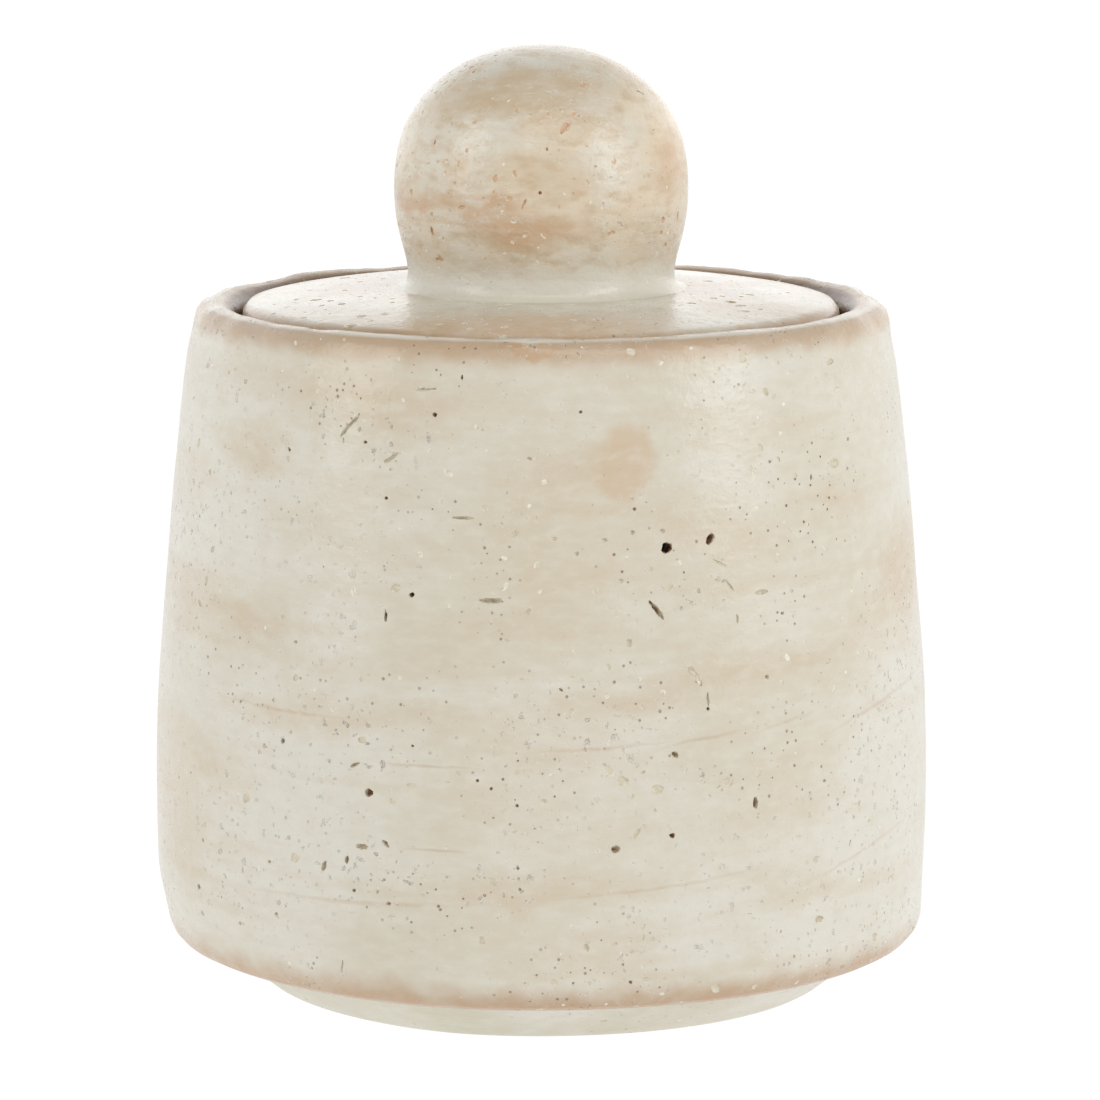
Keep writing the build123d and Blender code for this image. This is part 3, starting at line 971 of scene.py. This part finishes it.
# %% Gouges on the wall
wall_gouges = (
    (667, 548, 2.4, 2.2, 2.0, 30), (711, 539, 1.5, 2.6, 1.5, -35), (657, 610, 5.0, 1.0, 1.3, -53),
    (762, 592, 3.1, 1.0, 0.6), (491, 601, 4.9, 1.2, 1.0), (411, 595, 1.1, 1.1, 1.0),
    (395, 588, 2.2, 1.8, 0.4, 20), (461, 377, 0.5, 1.1, 0.7), (434, 415, 1.0, 1.0, 0.8),
    (349, 425, 7.0, 1.0, 0.7, 48), (364, 442, 0.9, 0.7, 0.7), (390, 458, 4.0, 0.8, 0.6, 33),
    (288, 450, 0.7, 0.7, 0.7), (385, 498, 0.7, 0.7, 0.7), (462, 518, 4.5, 0.8, 0.6),
    (425, 389, 4.7, 0.7, 0.5, 5), (385, 616, 0.7, 2.4, 1.1), (354, 765, 2.4, 0.7, 0.8, 25),
    (368, 793, 1.9, 1.7, 1.1, 10), (361, 847, 2.8, 1.2, 0.9), (385, 844, 2.0, 0.8, 0.8, -45),
    (323, 866, 1.1, 2.3, 0.9, -20), (346, 860, 0.9, 1.8, 0.9, -10), (282, 741, 1.2, 1.1, 0.8),
    (412, 746, 0.7, 0.6, 0.6), (477, 781, 0.7, 0.7, 0.6), (491, 789, 0.7, 0.7, 0.6),
    (517, 806, 0.7, 0.8, 0.6), (353, 891, 0.8, 0.7, 0.6), (388, 904, 0.9, 0.7, 0.6),
    (198, 887, 1.4, 1.1, 0.8), (200, 914, 1.4, 1.1, 0.4), (268, 862, 0.9, 0.7, 0.5),
    (202, 840, 1.1, 0.8, 0.5), (295, 642, 0.9, 0.7, 0.5), (275, 914, 0.9, 0.7, 0.5),
    (238, 924, 1.0, 0.7, 0.5), (440, 910, 0.7, 0.7, 0.5), (518, 869, 0.7, 0.6, 0.5),
    (520, 890, 0.7, 0.7, 0.5), (340, 968, 0.6, 3.4, 0.4, -10), (695, 675, 5.5, 1.6, 0.35, -53),
    (561, 690, 1.1, 0.6, 0.6, -40), (709, 709, 0.8, 0.8, 0.7), (709, 699, 0.6, 3.0, 0.5),
    (676, 755, 1.7, 1.1, 0.9, -40), (673, 836, 1.2, 1.1, 0.9), (616, 850, 2.0, 1.6, 1.0, 20),
    (757, 803, 1.2, 2.4, 1.2), (623, 781, 2.6, 2.0, 0.35), (658, 790, 2.8, 2.0, 0.35),
    (728, 783, 3.0, 2.2, 0.35), (821, 919, 2.6, 1.4, 0.6), (826, 781, 1.0, 0.7, 0.6),
    (631, 983, 0.8, 0.7, 0.6), (555, 539, 1.1, 0.8, 0.4), (577, 554, 1.0, 0.9, 0.4),
    (605, 540, 1.2, 0.9, 0.4), (633, 532, 1.0, 0.8, 0.5), (621, 581, 1.1, 0.9, 0.4),
    (663, 531, 1.0, 1.0, 0.5), (812, 477, 0.7, 1.2, 0.7), (835, 463, 3.0, 2.0, 0.5),
    (849, 439, 1.0, 0.8, 0.6), (581, 412, 0.8, 0.7, 0.6), (720, 563, 3.7, 0.7, 0.35, -28),
    (730, 585, 3.4, 0.6, 0.35, -50), (738, 619, 0.6, 2.0, 0.45), (783, 613, 1.0, 0.7, 0.6),
    (768, 677, 1.0, 0.9, 0.6), (635, 509, 0.8, 0.7, 0.6),
)
wall_points = gouge_points("wall_gouges", "jar_body", wall_gouges)
print("gouges on the wall", len(wall_gouges))

# %% [markdown]
# ## The jar's wall
# Floor, wall and rim were thrown in one. It is the largest piece, and only its outside is seen
# from near, so the steps along its outline are fine there and coarse inside. Its heel is worn at
# the left.

# %% The jar's wall
fine_step = 2.1 * mm
coarse_step = 6 * mm

thrown_piece(
    "jar_wall", "jar_body", "jar",
    outline("jar_body", lambda point: fine_step if point.x > 73 * mm else coarse_step),
    {
        "Middle": (0, 0, 75 * mm), "Wobble": 0.6 * mm, "Wear": 1.8 * mm, "Rim Lumps": 0.7 * mm,
        "Largest Pit": 2.0 * mm, "Palest": 0.01, "Gouges": wall_points, "Seed": 3, "Glaze": wall_glaze,
    },
)

# %% [markdown]
# ## The foot
# The foot is a low flared ring, rolled and joined under the floor. It is worn more than the heel,
# because the jar is set down on it.

# %% The foot
thrown_piece(
    "foot_clay", "foot_ring", "jar", outline("foot_ring", lambda point: 1.5 * mm),
    {
        "Middle": (0, 0, 30 * mm), "Wobble": 0.4 * mm, "Wear": 2.4 * mm, "Largest Pit": 1.6 * mm,
        "Seed": 5, "Glaze": foot_glaze,
    },
    slot="foot_stoneware",
)

# %% [markdown]
# ## The lid's plate
# The plate is a flat disc with a rounded upper edge, so its steps are fine there. Its pits are
# the darkest, because the glaze is thin.

# %% The lid's plate
thrown_piece(
    "lid_disc", "lid_plate", "lid",
    outline(
        "lid_plate",
        lambda point: 1.8 * mm if point.y > 134 * mm and point.x > 30 * mm else coarse_step,
    ),
    {
        "Middle": (0, 0, 136 * mm), "Wobble": 0.3 * mm, "Pit Spacing": 4 * mm, "Largest Pit": 2.6 * mm,
        "Palest": 0.6, "Darkest": 1.0, "Seed": 8, "Glaze": lid_glaze,
    },
)

# %% [markdown]
# ## The knob
# The ball is hollow, thrown closed and set on the plate. A true ball shows any dent in its
# outline, so it has no wobble, only many tiny pits close together, as tan as the glaze round them.

# %% The knob
knob_steps = 180
knob_gouges = (
    (435, 142, 0.6, 1.1, 0.5), (547, 149, 0.5, 0.7, 0.4), (540, 193, 0.7, 0.7, 0.6),
    (432, 231, 1.0, 1.9, 0.5, 10), (440, 260, 2.4, 2.0, 0.3), (445, 280, 0.6, 1.6, 0.6, -5),
    (462, 207, 1.7, 0.7, 0.3, 10), (524, 204, 0.7, 2.2, 0.3, -25), (565, 127, 3.6, 1.1, 0.4, 52),
    (584, 85, 2.6, 0.8, 0.3, 15), (548, 113, 1.0, 0.9, 0.2), (517, 110, 1.2, 0.9, 0.2),
    (640, 92, 2.4, 0.7, 0.4, -40), (678, 215, 0.6, 2.0, 0.4), (611, 233, 2.0, 1.2, 0.2),
)
knob_points = gouge_points("knob_gouges", "knob_ball", knob_gouges)

thrown_piece(
    "knob_globe", "knob_ball", "lid",
    outline("knob_ball", lambda point: 1.5 * mm if point.x > 25 * mm else coarse_step),
    {
        "Segments": knob_steps, "Middle": (0, 0, 165 * mm), "Pit Spacing": 2.5 * mm,
        "Smallest Pit": 0.6 * mm, "Largest Pit": 1.4 * mm, "Palest": 0.05, "Darkest": 0.3,
        "Gouges": knob_points, "Seed": 12, "Glaze": knob_glaze, "Pit Clay": knob_pit_clay,
    },
)

# %% [markdown]
# ## The coil under the knob
# The CAD coil is a small hollow curve in the corner between ball and plate. Wet clay there was
# smoothed upwards with a finger, so the curve goes a little further up and meets the ball without
# a crease. Its outline is one curve with three handles.

# %% The coil
smoothed_rise = 7.5 * mm
coil_depth = 3 * mm
curve_steps = 9
from_outside = 0.1
inward_cast = Vector((-1, 0, 0))
smoothed_top = neck + smoothed_rise
reach_at_top, reach_above = (
    skins["knob_ball"].ray_cast(Vector((from_outside, 0, level)), inward_cast)[0].x
    for level in (smoothed_top, smoothed_top + 1 * mm)
)
coil_top = Vector((reach_at_top, smoothed_top))
coil_bend = Vector((reach_at_top - smoothed_rise * (reach_above - reach_at_top) / mm, neck))
coil_foot = Vector((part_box("knob_coil")[1].x, neck))
coil_curve = [
    coil_foot.lerp(coil_bend, share).lerp(coil_bend.lerp(coil_top, share), share)
    for share in (step / curve_steps for step in range(curve_steps + 1))
]
coil_inner = reach_at_top - coil_depth
inner_foot = Vector((coil_inner, neck))
coil_rows = [inner_foot, *coil_curve, Vector((coil_inner, smoothed_top)), inner_foot]

thrown_piece(
    "knob_coil_smoothed", "knob_coil", "lid", coil_rows,
    {
        "Segments": knob_steps, "Middle": (0, 0, 135 * mm), "Smallest Pit": 0.5 * mm,
        "Largest Pit": 0.9 * mm, "Darkest": 0.2, "Seed": 4, "Glaze": knob_glaze,
    },
)

# %% [markdown]
# ## The ring that stays
# The lid hides the ring that it rests on, and the ring has no form that the CAD model lacks. So
# its CAD mesh stays as it is and only gets the wall's glaze.

# %% The seat ring
seat_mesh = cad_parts["lid_seat"].data
seat_mesh.materials.clear()
seat_mesh.materials.append(wall_glaze)
print("seat ring", len(seat_mesh.polygons), "faces")
